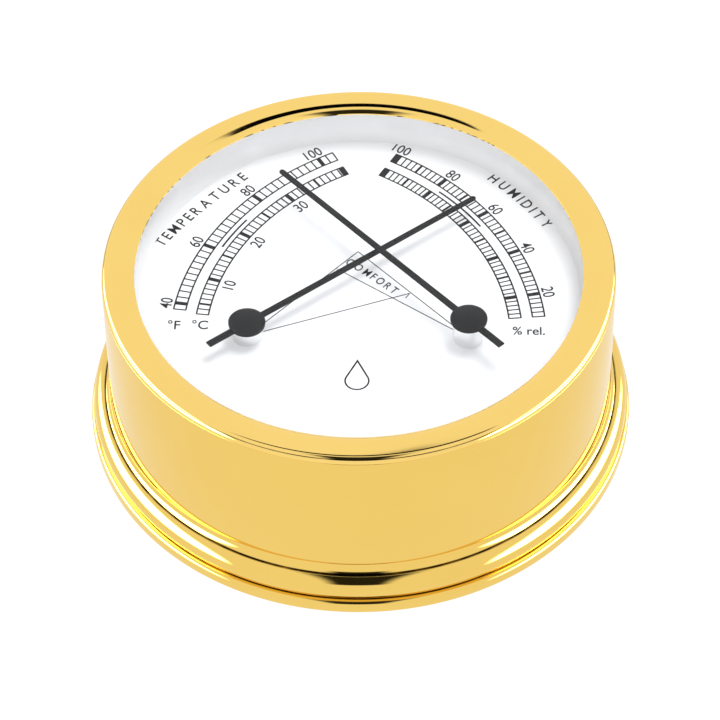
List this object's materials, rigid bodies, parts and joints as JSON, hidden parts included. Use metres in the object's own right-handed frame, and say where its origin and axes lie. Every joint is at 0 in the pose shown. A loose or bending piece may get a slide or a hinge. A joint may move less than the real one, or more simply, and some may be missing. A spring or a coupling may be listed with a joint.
{
  "type": "dial hygrometer",
  "caption": "Round polished brass dial hygrometer with a thermometer hand beside the humidity hand, their tips crossing over a white dial; keyhole back for wall hanging.",
  "frame": {"origin": "centre of the base, in the plane that the case rests on", "axes": "+Z out of the dial, +Y towards the top of the dial, +X to its right"},
  "size_m": [0.12, 0.12, 0.0445],
  "materials": {
    "polished_brass": "polished",
    "dull_brass": "satin",
    "steel": "satin",
    "glass": "clear",
    "dial_enamel": "satin",
    "white_plastic": "matte",
    "black_satin": "satin",
    "coil_bimetal": "satin",
    "coil_hygroscopic": "satin"
  },
  "bodies": {
    "root": {"case_drum": "polished_brass", "bezel": "polished_brass", "glass": "glass", "glass_seal": "white_plastic", "spacer_ring": "white_plastic", "dial": "dial_enamel", "dial_seat_ring": "dull_brass", "movement_plate": "steel", "movement_pillars": "dull_brass", "plate_screws": "steel", "back_cover": "steel", "back_screws": "steel", "hanger_plate": "steel", "hanger_rivets": "steel", "humidity_post": "steel", "humidity_post_nut": "dull_brass", "temperature_post": "steel", "temperature_post_nut": "dull_brass"},
    "humidity_adjuster": {"humidity_regulator": "dull_brass", "humidity_regulator_clip": "steel", "humidity_anchor_pin": "dull_brass", "humidity_coil": "coil_hygroscopic"},
    "humidity_hand": {"humidity_collet": "dull_brass", "humidity_arbor": "steel", "humidity_pointer": "black_satin", "humidity_cap": "black_satin"},
    "temperature_adjuster": {"temperature_regulator": "dull_brass", "temperature_regulator_clip": "steel", "temperature_anchor_pin": "dull_brass", "temperature_coil": "coil_bimetal"},
    "temperature_hand": {"temperature_collet": "dull_brass", "temperature_arbor": "steel", "temperature_pointer": "black_satin", "temperature_cap": "black_satin"}
  },
  "joints": [
    {"name": "humidity_adjust", "type": "hinge", "parent": "root", "child": "humidity_adjuster", "pos_m": [-0.02375, -0.0121, 0.0196], "axis": [0, 0, 1], "range_deg": [-6, 6]},
    {"name": "humidity_swing", "type": "hinge", "parent": "humidity_adjuster", "child": "humidity_hand", "pos_m": [-0.02375, -0.0121, 0.0196], "axis": [0, 0, 1], "range_deg": [-26.5, 22], "stiffness_Nm_per_rad": 0.0001, "deforming": ["humidity_coil"]},
    {"name": "temperature_adjust", "type": "hinge", "parent": "root", "child": "temperature_adjuster", "pos_m": [0.02375, -0.0121, 0.0196], "axis": [0, 0, 1], "range_deg": [-6, 6]},
    {"name": "temperature_swing", "type": "hinge", "parent": "temperature_adjuster", "child": "temperature_hand", "pos_m": [0.02375, -0.0121, 0.0196], "axis": [0, 0, 1], "range_deg": [-14.5, 40], "stiffness_Nm_per_rad": 0.0001, "deforming": ["temperature_coil"]}
  ]
}
